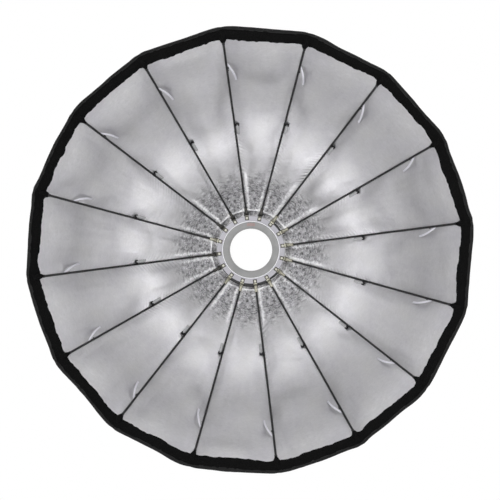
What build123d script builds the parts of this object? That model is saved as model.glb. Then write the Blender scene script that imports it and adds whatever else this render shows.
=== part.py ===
"""Sixteen-rib deep parabolic softbox ("octabox"), silver inside, for a three-lug bayonet studio light.

Frame: origin on the axis, on the bayonet seat plane. The light is on the +Y side and the opening faces -Y.
X is to the right seen from the front, Z is up. All sizes are in millimetres.
Inside this script "forward" is the distance from the seat plane towards the opening, so forward = -Y.
"""
import math
import os

from build123d import *

os.makedirs("parts", exist_ok=True)

# ---- driving dimensions ------------------------------------------------------------------------------
N_RIBS = 16
STEP_DEG = 360.0 / N_RIBS
FIRST_RIB_DEG = 7.25          # azimuth of rib 1, from +X towards +Z

BORE_R = 49.5                 # clear bore for the light
SPIGOT_R = 54.5               # bayonet spigot
SPIGOT_LEN = 9.0
LUG_R = 59.5
LUG_T = 2.5
LUG_DEG = 34.0
SEAT_FLANGE_R = 72.0
SEAT_FLANGE_T = 3.0
RELIEF_R = 60.5               # the seat face starts outside this radius
BARREL_R = 64.0               # the hub turns on this
BARREL_TOP = 20.0

HUB_BORE_R = 64.1
HUB_LIP_R = 66.4
HUB_R = 79.0
HUB_STEP_R = 85.0
HUB_BACK = 3.2
HUB_STEP_TOP = 15.0
HUB_TOP = 21.6
PLATE_T = 1.6

SLOT_W = 8.6
SLOT_R = 69.8
SLOT_FLOOR = 6.5
PIVOT_R = 80.0                # radius of the rib pivots
PIVOT_A = 13.0                # how far forward they are
PIN_R = 1.5
PIN_LEN = 14.0
LEVER_W = 8.0
LEVER_ROOT_R = 4.4
SOCKET_R = 3.5
SOCKET_FROM, SOCKET_TO = 5.0, 22.5
ROD_FROM = 8.0
ROOT_LEN = 34.0               # straight length of the rib before its curve starts
ROD_R = 2.25
ROOT_DEG = 27.0               # slope of the lever and the rod's root

FOCAL4 = 430.0                # the rod follows forward = a0 + radius^2 / FOCAL4
TIP_RHO = 427.0
CAP_R = 3.1
CAP_LEN = 15.0

CLOTH_OFF = 4.4               # middle of the cloth, outside the rod's axis
CLOTH_T = 1.0
CLOTH_IN_RHO = 87.0           # inner edge of the cloth
BAND_LEN = 44.0
BAND_T = 1.8
EDGE_T = 3.4                  # folded binding on the front edge
EDGE_LEN = 6.0
SEAM_GAP = 0.35               # half the gap between two gores at a rib

KEEPER_RHO = (242.0, 268.0)
KEEPER_W = 9.0
LOOP_RHO = (364.0, 392.0)
LOOP_OUT = 15.0
LOOP_R = 1.5

KNOB_AZ = FIRST_RIB_DEG + STEP_DEG * 11.5
KNOB_A = 8.6


# ---- helpers -----------------------------------------------------------------------------------------
def ring(r0, r1, a0, a1):
    """A plain ring about the axis, from forward a0 to a1, built about local Z."""
    return Pos(0, 0, a0) * (Cylinder(r1, a1 - a0, align=(Align.CENTER, Align.CENTER, Align.MIN))
                            - Cylinder(r0, a1 - a0, align=(Align.CENTER, Align.CENTER, Align.MIN)))


def block(r0, r1, width, a0, a1):
    """A block reaching from radius r0 to r1 along local X, forward a0 to a1."""
    return Pos(r0, 0, a0) * Box(r1 - r0, width, a1 - a0, align=(Align.MIN, Align.CENTER, Align.MIN))


def place(shape):
    """From the working frame (Z forward, X right, Y up) to the part's frame."""
    return Rot(90, 0, 0) * shape


def around(shape, deg):
    """Turns a piece made at azimuth 0 to its azimuth (from +X towards +Z in the part's frame)."""
    return Rot(0, 0, deg) * shape


def save(name, *shapes):
    """Writes one node, as a group of separate solids."""
    solids = []
    for s in shapes:
        solids += list(s.solids())
    placed = [place(s) for s in solids]
    out = placed[0] if len(placed) == 1 else Compound(children=placed)
    export_step(out, f"parts/{name}.step")


# In the working frame Z is forward, X is azimuth 0 and azimuth grows towards Y.
rib_deg = [FIRST_RIB_DEG + STEP_DEG * k for k in range(N_RIBS)]
root = math.radians(ROOT_DEG)
foot = (PIVOT_R + ROOT_LEN * math.cos(root), PIVOT_A + ROOT_LEN * math.sin(root))
a_zero = foot[1] - foot[0] ** 2 / FOCAL4


def rod_a(rho):
    """How far forward the rod's axis is at radius rho."""
    if rho <= foot[0]:
        return PIVOT_A + (rho - PIVOT_R) * math.tan(root)
    return a_zero + rho * rho / FOCAL4


def slope(rho):
    return root if rho <= foot[0] else math.atan(2 * rho / FOCAL4)


def off(rho, d):
    """The point d outside the rod's axis at radius rho, as (radius, forward)."""
    s = slope(rho)
    return (rho + d * math.sin(s), rod_a(rho) - d * math.cos(s))


# ---- mount ring: the bayonet insert that the light takes ---------------------------------------------------
mount_ring = ring(BORE_R, BARREL_R, 0.0, BARREL_TOP) + ring(BORE_R, SEAT_FLANGE_R, 0.0, SEAT_FLANGE_T)
mount_ring += ring(BORE_R, SPIGOT_R, -SPIGOT_LEN, 0.0)
mount_ring -= ring(SPIGOT_R, RELIEF_R, 0.0, 0.6)
for k in range(3):
    lug = ring(SPIGOT_R - 0.5, LUG_R, -SPIGOT_LEN, -SPIGOT_LEN + LUG_T)
    wedge = Pos(0, 0, -SPIGOT_LEN) * extrude(
        make_face(Polyline((0, 0), (90 * math.cos(math.radians(LUG_DEG / 2)), -90 * math.sin(math.radians(LUG_DEG / 2))),
                           (90 * math.cos(math.radians(LUG_DEG / 2)), 90 * math.sin(math.radians(LUG_DEG / 2))), (0, 0))), LUG_T)
    mount_ring += Rot(0, 0, 90 + 120 * k) * (lug & wedge)
save("mount_ring", mount_ring)

# ---- retaining ring threaded on the mount ring's front, which keeps the hub on the barrel, and its index mark --------
retaining_ring = ring(52.6, 64.9, BARREL_TOP, BARREL_TOP + 2.4)
retaining_ring -= ring(54.0, 54.5, BARREL_TOP + 1.9, BARREL_TOP + 2.4) + ring(58.2, 58.6, BARREL_TOP + 2.0, BARREL_TOP + 2.4)
mark = block(55.2, 62.6, 19.0, BARREL_TOP + 1.8, BARREL_TOP + 2.4) & ring(55.6, 62.4, BARREL_TOP + 1.8, BARREL_TOP + 2.4)
retaining_ring -= around(mark, 90)
save("retaining_ring", retaining_ring)
save("index_mark", around(Pos(0, 0, 0.02) * mark, 90))

# ---- hub ring with sixteen rib slots ------------------------------------------------------------------------------
hub = ring(HUB_BORE_R, HUB_R, HUB_BACK, HUB_TOP) + ring(HUB_R - 1, HUB_STEP_R, HUB_BACK, HUB_STEP_TOP)
hub -= ring(HUB_BORE_R - 1, HUB_LIP_R - 1.1, BARREL_TOP - 0.2, HUB_TOP + 1)
for d in rib_deg:
    cut = block(SLOT_R, HUB_STEP_R + 4, SLOT_W, SLOT_FLOOR, HUB_TOP + 2)
    cut += Pos(PIVOT_R, 0, PIVOT_A) * Rot(90, 0, 0) * Cylinder(PIN_R, PIN_LEN)
    hub -= around(cut, d)
knob_bore = Pos(0, 0, KNOB_A) * Rot(0, 90, 0) * Pos(0, 0, 60) * Cylinder(2.6, 40, align=(Align.CENTER, Align.CENTER, Align.MIN))
hub -= around(knob_bore, KNOB_AZ)
clamp_screw_deg = [FIRST_RIB_DEG + STEP_DEG * (2 * k + 1.5) for k in range(8)]
clamp_screw_deg = [d for d in clamp_screw_deg if abs((d - KNOB_AZ + 180) % 360 - 180) > 5]
for d in clamp_screw_deg:
    hub -= around(Pos(80.5, 0, HUB_BACK) * Cylinder(1.1, 6, align=(Align.CENTER, Align.CENTER, Align.MIN)), d)
save("hub_ring", hub)

# ---- hub face plate ----------------------------------------------------------------------------------------------------
plate = ring(65.3, HUB_R - 0.3, HUB_TOP, HUB_TOP + PLATE_T)
for d in rib_deg:
    plate -= around(block(SLOT_R - 0.3, HUB_R + 2, SLOT_W + 0.6, HUB_TOP, HUB_TOP + PLATE_T), d)
save("hub_face_plate", plate)

# ---- pivot pins and the spring catches that hold each lever open ------------------------------------------------------
pin = Pos(PIVOT_R, 0, PIVOT_A) * Rot(90, 0, 0) * Cylinder(PIN_R, PIN_LEN)
save("rib_pivot_pins", *[around(pin, d) for d in rib_deg])
catch = block(70.0, 71.3, SLOT_W - 0.4, SLOT_FLOOR, HUB_TOP + PLATE_T + 1.2)
catch += block(70.0, 78.6, SLOT_W - 0.4, HUB_TOP + PLATE_T, HUB_TOP + PLATE_T + 1.2)
catch += block(77.4, 78.6, SLOT_W - 0.4, HUB_TOP - 1.6, HUB_TOP + PLATE_T + 1.2)
save("rib_catch_springs", *[around(catch, d) for d in rib_deg])

# ---- rear collar (elastic cloth that closes the back) and its clamp ring -------------------------------------------------
sec = make_face(Polyline((85.1, 3.4), (86.6, 3.4), (98.6, 12.4), (97.8, 13.6), (85.9, 5.2), (85.1, 5.2), (85.1, 3.4)))
collar = revolve(Rot(90, 0, 0) * sec, Axis.Z)
collar -= around(Pos(0, 0, KNOB_A) * Rot(0, 90, 0) * Pos(0, 0, 84) * Cylinder(3.4, 30, align=(Align.CENTER, Align.CENTER, Align.MIN)), KNOB_AZ)
save("rear_collar", collar)
clamp = ring(72.6, 88.4, 1.4, HUB_BACK)
clamp_screws = []
for d in clamp_screw_deg:
    clamp -= around(Pos(80.5, 0, 1.4) * Cylinder(1.2, 1.8, align=(Align.CENTER, Align.CENTER, Align.MIN)), d)
    s = Pos(80.5, 0, 1.35) * Cylinder(1.05, 7.0, align=(Align.CENTER, Align.CENTER, Align.MIN))
    s += Pos(80.5, 0, -0.2) * Cylinder(2.1, 1.55, align=(Align.CENTER, Align.CENTER, Align.MIN))
    s -= Pos(80.5, 0, -0.2) * (Box(2.8, 0.6, 0.7, align=(Align.CENTER, Align.CENTER, Align.MIN)) + Box(0.6, 2.8, 0.7, align=(Align.CENTER, Align.CENTER, Align.MIN)))
    clamp_screws.append(around(s, d))
save("collar_clamp_ring", clamp)
save("clamp_ring_screws", *clamp_screws)

# ---- rotation lock screw: a knurled thumbscrew that presses on the mount ring's barrel ----------------------------------------
knob = Pos(0, 0, 64.15) * Cylinder(2.5, 42, align=(Align.CENTER, Align.CENTER, Align.MIN))
grip = Pos(0, 0, 103.0) * Cylinder(6.6, 11.0, align=(Align.CENTER, Align.CENTER, Align.MIN))
grip += Pos(0, 0, 101.0) * Cylinder(4.2, 2.0, align=(Align.CENTER, Align.CENTER, Align.MIN))
for k in range(18):
    grip -= Rot(0, 0, 20 * k) * Pos(6.8, 0, 102) * Cylinder(0.55, 13, align=(Align.CENTER, Align.CENTER, Align.MIN))
knob += grip
save("rotation_lock_screw", around(Pos(0, 0, KNOB_A) * Rot(0, 90, 0) * knob, KNOB_AZ))

# ---- one rib: root lever, spring rod and its thicker tip ---------------------------------------------------------------------------------
c, s_ = math.cos(root), math.sin(root)
lean = Pos(PIVOT_R, 0, PIVOT_A) * Rot(0, -ROOT_DEG, 0)        # local X runs along the rod's root
lever = Rot(90, 0, 0) * Cylinder(LEVER_ROOT_R, LEVER_W)
lever += Pos(0, 0, -3.2) * Box(9.5, LEVER_W, 6.4, align=(Align.MIN, Align.CENTER, Align.MIN))
lever += Pos(SOCKET_FROM, 0, 0) * Rot(0, 90, 0) * Cylinder(SOCKET_R, SOCKET_TO - SOCKET_FROM, align=(Align.CENTER, Align.CENTER, Align.MIN))
lever -= Rot(90, 0, 0) * Cylinder(PIN_R + 0.05, LEVER_W + 1)
lever -= Pos(ROD_FROM, 0, 0) * Rot(0, 90, 0) * Cylinder(ROD_R + 0.05, SOCKET_TO - ROD_FROM + 1, align=(Align.CENTER, Align.CENTER, Align.MIN))
lever = lean * lever

rho_stations = [foot[0] + (TIP_RHO - foot[0]) * t for t in (0.0, 0.13, 0.28, 0.46, 0.70, 1.0)]
rod_line = Line((PIVOT_R + ROD_FROM * c, PIVOT_A + ROD_FROM * s_), foot)
path_edges = [rod_line]
last_pt, last_dir = foot, (c, s_)
for rho in rho_stations[1:]:
    nxt = (rho, rod_a(rho))
    arc = TangentArc(last_pt, nxt, tangent=last_dir)
    path_edges.append(arc)
    t = arc % 1
    last_pt, last_dir = nxt, (t.X, t.Y)
flat_path = Rot(90, 0, 0) * Wire([e for p in path_edges for e in p.edges()])   # drawn in X-Z
start_plane = Plane(origin=flat_path @ 0, z_dir=flat_path % 0)
rod = sweep(start_plane * Circle(ROD_R), path=flat_path)
tip = flat_path @ 1
tip_dir = flat_path % 1
cap_plane = Plane(origin=tip - tip_dir * (CAP_LEN - 4.0), z_dir=tip_dir)
cap = cap_plane * (Cylinder(CAP_R, CAP_LEN - CAP_R, align=(Align.CENTER, Align.CENTER, Align.MIN))
                   + Pos(0, 0, CAP_LEN - CAP_R) * Sphere(CAP_R))
rod += cap
for k, d in enumerate(rib_deg):
    save(f"rib_lever_{k + 1:02d}", around(lever, d))
    save(f"rib_rod_{k + 1:02d}", around(rod, d))

# ---- one gore: cloth panel, front band, edge binding, rod keeper and tie loop -----------------------------------------------------
half = math.radians(STEP_DEG / 2)
cosh_ = math.cos(half)


def strip(pts_in, pts_out):
    """Closed outline from an inner and an outer profile, radius scaled to the flat of the gore."""
    a = [(r * cosh_, z) for r, z in pts_in]
    b = [(r * cosh_, z) for r, z in pts_out]
    top = Spline(*a) if len(a) > 2 else Line(*a)
    low = Spline(*b) if len(b) > 2 else Line(*b)
    return make_face(Wire([*top.edges(), Line(a[-1], b[-1]).edge(), *low.edges(), Line(b[0], a[0]).edge()]))


def wedge_of(gap):
    """The space between two rib planes, less a gap on each, symmetric about local X."""
    g = gap / math.sin(half)
    far = 520.0
    return Pos(0, 0, -20) * extrude(make_face(Polyline(
        (g, 0), (far, -(far - g) * math.tan(half)), (far, (far - g) * math.tan(half)), (g, 0))), 560)


wedge = wedge_of(SEAM_GAP)


def gored(face):
    return extrude(Rot(90, 0, 0) * face, 130, both=True) & wedge


stations = [CLOTH_IN_RHO, foot[0], 135.0, 163.0, 195.0, 231.0, 270.0, 312.0, 352.0, 390.0, TIP_RHO]


def quad(a, b, d0, d1):
    """One flat cross strip of the skin, between radii a and b, from offset d0 to d1."""
    return [off(a, d0), off(b, d0)], [off(a, d1), off(b, d1)]


panel = [gored(strip(*quad(a, b, CLOTH_OFF - CLOTH_T / 2, CLOTH_OFF + CLOTH_T / 2))) for a, b in zip(stations, stations[1:])]
ts = slope(TIP_RHO)
along = (math.cos(ts), math.sin(ts))
across = (math.sin(ts), -math.cos(ts))
base_pt = off(TIP_RHO, CLOTH_OFF)


def rim_pt(l, d):
    return (base_pt[0] + l * along[0] + d * across[0], base_pt[1] + l * along[1] + d * across[1])


band = gored(strip([rim_pt(0.0, -BAND_T / 2), rim_pt(BAND_LEN - EDGE_LEN, -BAND_T / 2)],
                   [rim_pt(0.0, BAND_T / 2), rim_pt(BAND_LEN - EDGE_LEN, BAND_T / 2)]))
edge = gored(strip([rim_pt(BAND_LEN - EDGE_LEN, -EDGE_T / 2), rim_pt(BAND_LEN, -EDGE_T / 2)],
                   [rim_pt(BAND_LEN - EDGE_LEN, EDGE_T / 2), rim_pt(BAND_LEN, EDGE_T / 2)]))

# The keeper and the loop lie on the cloth beside the next rib, which is at +STEP/2 from the gore's middle.
side = 1.0                                                     # local Y is the higher azimuth


def on_gore(rho, lift, inset):
    """A point on the cloth's inner face at radius rho, lifted off it, inset from the next rib's plane."""
    r, a = off(rho, CLOTH_OFF - CLOTH_T / 2 - lift)
    return Vector(r * cosh_, side * (r * math.sin(half) - inset), a)


def keeper_plate():
    p0, p1 = on_gore(KEEPER_RHO[0], 1.1, 3.2), on_gore(KEEPER_RHO[1], 1.1, 3.2)
    x = (p1 - p0)
    up = Vector(-math.sin(slope(sum(KEEPER_RHO) / 2)), 0, math.cos(slope(sum(KEEPER_RHO) / 2)))
    pl = Plane(origin=(p0 + p1) * 0.5, x_dir=x.normalized(), z_dir=up)
    return pl * Pos(0, -KEEPER_W / 2, 0) * Box(x.length, KEEPER_W, 1.0)


def tie_loop():
    p0 = on_gore(LOOP_RHO[1], 2.2, 3.6)
    p1 = on_gore(sum(LOOP_RHO) / 2 + 2, 7.0, 3.6 + LOOP_OUT * 0.72)
    p2 = on_gore(LOOP_RHO[0], 2.2, 3.6 + LOOP_OUT)
    arc = ThreePointArc(p0, p1, p2)
    return sweep(Plane(origin=arc @ 0, z_dir=arc % 0) * Circle(LOOP_R), path=Wire([arc.edge()]))


keeper, loop = keeper_plate(), tie_loop()
print("solid counts", [len(p.solids()) for p in panel], len(band.solids()), len(edge.solids()), len(keeper.solids()), len(loop.solids()))
print("gore flat length", sum(math.dist(off(a, CLOTH_OFF), off(b, CLOTH_OFF)) for a, b in zip(stations, stations[1:])))
for k, d in enumerate(rib_deg):
    mid = d + STEP_DEG / 2
    save(f"gore_panel_{k + 1:02d}", *[around(x, mid) for x in (*panel, band, edge, keeper, loop)])
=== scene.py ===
"""Sixteen-rib deep parabolic softbox, seen into its opening: materials, cloth skin, light and camera."""
import math

import bpy
import numpy as np
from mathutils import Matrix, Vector


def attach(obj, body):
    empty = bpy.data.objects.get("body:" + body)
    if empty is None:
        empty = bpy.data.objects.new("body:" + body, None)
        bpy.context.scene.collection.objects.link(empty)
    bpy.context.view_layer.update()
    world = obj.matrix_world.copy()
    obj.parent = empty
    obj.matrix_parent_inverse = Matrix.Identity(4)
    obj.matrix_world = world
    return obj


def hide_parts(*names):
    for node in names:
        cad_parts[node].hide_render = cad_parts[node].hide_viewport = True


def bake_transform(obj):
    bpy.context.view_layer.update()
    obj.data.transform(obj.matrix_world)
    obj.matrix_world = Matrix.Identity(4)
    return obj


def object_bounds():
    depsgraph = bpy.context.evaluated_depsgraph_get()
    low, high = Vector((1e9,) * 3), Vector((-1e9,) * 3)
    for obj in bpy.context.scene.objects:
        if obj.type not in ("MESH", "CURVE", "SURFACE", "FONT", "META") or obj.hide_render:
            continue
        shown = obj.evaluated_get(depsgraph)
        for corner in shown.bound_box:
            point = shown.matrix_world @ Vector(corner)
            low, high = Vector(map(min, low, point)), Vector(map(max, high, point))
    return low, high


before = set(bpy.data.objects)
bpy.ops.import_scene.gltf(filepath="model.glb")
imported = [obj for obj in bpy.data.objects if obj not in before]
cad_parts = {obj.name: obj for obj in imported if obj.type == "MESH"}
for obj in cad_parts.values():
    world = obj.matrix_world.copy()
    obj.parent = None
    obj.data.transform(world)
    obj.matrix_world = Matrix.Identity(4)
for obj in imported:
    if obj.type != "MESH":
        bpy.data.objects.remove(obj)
cad_lo, cad_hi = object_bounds()

# ---- the part's own dimensions, in metres ---------------------------------------------------------------
N = 16
STEP = math.radians(360.0 / N)
FIRST = math.radians(7.25)
HALF = STEP / 2
PIVOT_R, PIVOT_A = 0.080, 0.013
ROOT = math.radians(27.0)
ROOT_LEN = 0.034
FOCAL4 = 0.430
TIP_RHO = 0.427
ROD_R = 0.00225
CLOTH_OFF = 0.0044
CLOTH_IN = 0.087
BAND = 0.044
FOOT = (PIVOT_R + ROOT_LEN * math.cos(ROOT), PIVOT_A + ROOT_LEN * math.sin(ROOT))
A_ZERO = FOOT[1] - FOOT[0] ** 2 / FOCAL4


def rib_az(k):
    return FIRST + STEP * k


# ---- meridian profile, as a table against the length along the cloth --------------------------------------
_rho = np.concatenate([np.linspace(CLOTH_IN, FOOT[0], 40, endpoint=False), np.linspace(FOOT[0], TIP_RHO, 600)])
_a = np.where(_rho <= FOOT[0], PIVOT_A + (_rho - PIVOT_R) * math.tan(ROOT), A_ZERO + _rho**2 / FOCAL4)
_sl = np.where(_rho <= FOOT[0], ROOT, np.arctan(2 * _rho / FOCAL4))
_sl = np.convolve(np.pad(_sl, 12, mode="edge"), np.ones(25) / 25, "valid")     # no kink where the curve starts
_r0, _a0 = _rho + CLOTH_OFF * np.sin(_sl), _a - CLOTH_OFF * np.cos(_sl)
_s = np.concatenate([[0], np.cumsum(np.hypot(np.diff(_r0), np.diff(_a0)))])
S_TIP = float(_s[-1])
S_END = S_TIP + BAND
_dir = (math.cos(_sl[-1]), math.sin(_sl[-1]))
_ext = np.linspace(0.002, 0.06, 20)
_s = np.concatenate([_s, S_TIP + _ext])
_r0 = np.concatenate([_r0, _r0[-1] + _ext * _dir[0]])
_a0 = np.concatenate([_a0, _a0[-1] + _ext * _dir[1]])
_sl = np.concatenate([_sl, np.full(20, _sl[-1])])


def prof(s):
    """Radius and forward distance of the cloth's middle on a rib plane, and the slope, at length s."""
    s = np.asarray(s, float)
    return np.interp(s, _s, _r0), np.interp(s, _s, _a0), np.interp(s, _s, _sl)


def s_of(rho):
    return float(np.interp(rho, _rho, _s[: len(_rho)]))


def on_rib(k, s, lift, side=0.0):
    """Points on rib k's plane at length s, lifted towards the inside by lift, and moved sideways (towards higher azimuth)."""
    r, a, sl = prof(s)
    lift = np.asarray(lift, float)
    rr, aa = r - lift * np.sin(sl), a + lift * np.cos(sl)
    t = rib_az(k)
    side = np.asarray(side, float)
    return np.stack([rr * math.cos(t) - side * math.sin(t), -aa + 0 * side, rr * math.sin(t) + side * math.cos(t)], -1)


def on_gore(k, s, v, lift):
    """Points on the flat chord between rib k and rib k+1, lifted towards the inside."""
    r, a, sl = prof(s)
    t0, t1, tm = rib_az(k), rib_az(k + 1), rib_az(k) + HALF
    x = r * ((1 - v) * math.cos(t0) + v * math.cos(t1)) - lift * np.sin(sl) * math.cos(tm)
    z = r * ((1 - v) * math.sin(t0) + v * math.sin(t1)) - lift * np.sin(sl) * math.sin(tm)
    return np.stack([x, -(a + lift * np.cos(sl)), z], -1)


# ---- small noise kit ------------------------------------------------------------------------------------------
def _hash(i, j, seed):
    n = (i * 374761393 + j * 668265263 + seed * 974634777) & 0xFFFFFFFF
    n = ((n ^ (n >> 13)) * 1274126177) & 0xFFFFFFFF
    return ((n ^ (n >> 16)) & 0xFFFF) / 32767.5 - 1.0


def noise(x, y, seed=0):
    x, y = np.broadcast_arrays(np.asarray(x, float), np.asarray(y, float))
    xi, yi = np.floor(x).astype(np.int64), np.floor(y).astype(np.int64)
    fx, fy = x - xi, y - yi
    ux, uy = fx * fx * fx * (fx * (fx * 6 - 15) + 10), fy * fy * fy * (fy * (fy * 6 - 15) + 10)
    a, b = _hash(xi, yi, seed), _hash(xi + 1, yi, seed)
    c, d = _hash(xi, yi + 1, seed), _hash(xi + 1, yi + 1, seed)
    return (a * (1 - ux) + b * ux) * (1 - uy) + (c * (1 - ux) + d * ux) * uy


def smooth(t):
    t = np.clip(t, 0, 1)
    return t * t * (3 - 2 * t)


# ---- mesh helpers -----------------------------------------------------------------------------------------------
def make(name, verts, faces, mats, uv=None, face_mats=None, flat=False, uv2=None):
    mesh = bpy.data.meshes.new(name)
    mesh.from_pydata([tuple(map(float, p)) for p in verts], [], [tuple(map(int, f)) for f in faces])
    for m in mats:
        mesh.materials.append(m)
    if face_mats is not None:
        mesh.polygons.foreach_set("material_index", np.asarray(face_mats, np.int32))
    if uv is not None:
        layer = mesh.uv_layers.new(name="cloth")
        idx = np.zeros(len(mesh.loops), np.int32)
        mesh.loops.foreach_get("vertex_index", idx)
        layer.data.foreach_set("uv", np.asarray(uv, np.float32)[idx].ravel())
        for extra, values in (uv2 or {}).items():
            layer = mesh.uv_layers.new(name=extra)
            layer.data.foreach_set("uv", np.asarray(values, np.float32)[idx].ravel())
    mesh.polygons.foreach_set("use_smooth", np.full(len(mesh.polygons), not flat))
    mesh.validate()
    mesh.update()
    obj = bpy.data.objects.new(name, mesh)
    bpy.context.scene.collection.objects.link(obj)
    return obj


def shell(name, top, bottom, mats, uv, edge_mat=None, under_mat=None, uv2=None):
    """A closed thin sheet from two grids of points. top faces the inside of the shade."""
    nu, nv = top.shape[:2]
    idx = np.arange(nu * nv).reshape(nu, nv)
    a, b, c, d = idx[:-1, :-1].ravel(), idx[1:, :-1].ravel(), idx[1:, 1:].ravel(), idx[:-1, 1:].ravel()
    off = nu * nv
    tops = np.stack([a, d, c, b], -1)
    bots = np.stack([a, b, c, d], -1) + off
    ring = np.concatenate([idx[:, 0], idx[-1, 1:], idx[-2::-1, -1], idx[0, -2:0:-1]])
    nxt = np.roll(ring, -1)
    sides = np.stack([ring, nxt, nxt + off, ring + off], -1)
    faces = np.concatenate([tops, bots, sides])
    fm = np.concatenate([np.zeros(len(tops)), np.full(len(bots), under_mat or 0), np.full(len(sides), edge_mat or 0)])
    verts = np.concatenate([top.reshape(-1, 3), bottom.reshape(-1, 3)])
    uvs = np.concatenate([uv.reshape(-1, 2)] * 2)
    # the winding is checked once, against the direction from bottom to top
    p = verts[faces[0]]
    if np.dot(np.cross(p[1] - p[0], p[2] - p[0]), top[0, 0] - bottom[0, 0]) < 0:
        faces = faces[:, ::-1]
    uvs2 = {name2: np.concatenate([u.reshape(-1, 2)] * 2) for name2, u in (uv2 or {}).items()}
    obj = make(name, verts, faces, mats, uvs, fm, uv2=uvs2)
    return obj


def follow_gore(obj):
    """Bakes a gore piece's placement into its mesh."""
    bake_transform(obj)
    return obj


def follow_cloth_beside(obj):
    """For a small piece sewn to gore k beside rib k+1: reads its points, then bakes its placement into its mesh."""
    co = np.zeros(len(obj.data.vertices) * 3)
    obj.data.vertices.foreach_get("co", co)
    co = co.reshape(-1, 3)
    return follow_gore(obj)


def tube(name, path, radii, mats, sides=12, flat_y=1.0, up=None, length_uv=True):
    """A closed tube along points; radii per point; flattened by flat_y across the up direction."""
    path = np.asarray(path, float)
    n = len(path)
    radii = np.broadcast_to(np.asarray(radii, float), (n,))
    tan = np.gradient(path, axis=0)
    tan /= np.linalg.norm(tan, axis=1)[:, None]
    up = np.array([0, -1.0, 0]) if up is None else np.asarray(up, float)
    up = np.broadcast_to(up, (n, 3))
    side = np.cross(tan, up)
    side /= np.linalg.norm(side, axis=1)[:, None]
    nrm = np.cross(side, tan)
    ang = np.linspace(0, 2 * math.pi, sides, endpoint=False)
    pts = (path[:, None] + radii[:, None, None] * (np.cos(ang)[None, :, None] * side[:, None] + flat_y * np.sin(ang)[None, :, None] * nrm[:, None]))
    verts = list(pts.reshape(-1, 3)) + [path[0] - tan[0] * radii[0] * 0.3 * flat_y, path[-1] + tan[-1] * radii[-1] * 0.3 * flat_y]
    faces = []
    for i in range(n - 1):
        for j in range(sides):
            q = (j + 1) % sides
            faces.append((i * sides + j, i * sides + q, (i + 1) * sides + q, (i + 1) * sides + j))
    c0, c1 = n * sides, n * sides + 1
    for j in range(sides):
        q = (j + 1) % sides
        faces.append((c0, q, j))
        faces.append((c1, (n - 1) * sides + j, (n - 1) * sides + q))
    s = np.concatenate([[0], np.cumsum(np.linalg.norm(np.diff(path, axis=0), axis=1))])
    uv = np.stack(np.broadcast_arrays((ang / (2 * math.pi))[None] * (2 * math.pi) * radii[:, None], s[:, None]), -1).reshape(-1, 2)
    uv = np.concatenate([uv, [[0, 0], [0, s[-1]]]])
    return make(name, verts, faces, mats, uv)


# base colour of the silver along the gore, with painted light and shade in it: darkest about 0.06 m from the hub edge,
# brightest about 0.2 m out; position is the length from the hub edge in metres
_g = [(0.0, 0.574), (0.0154, 0.574), (0.0309, 0.553), (0.0465, 0.541), (0.0625, 0.497), (0.0843, 0.556), (0.1124, 0.578), (0.1413, 0.628), (0.1712, 0.793), (0.2018, 0.926), (0.2333, 0.897), (0.2816, 0.767), (0.3312, 0.729), (0.3816, 0.694), (0.4327, 0.68), (0.4841, 0.754), (0.5149, 0.84), (0.56, 0.84)]
PAINTED_LIGHT_RAMP = [(p, (c, c, c)) for p, c in _g]

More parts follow.
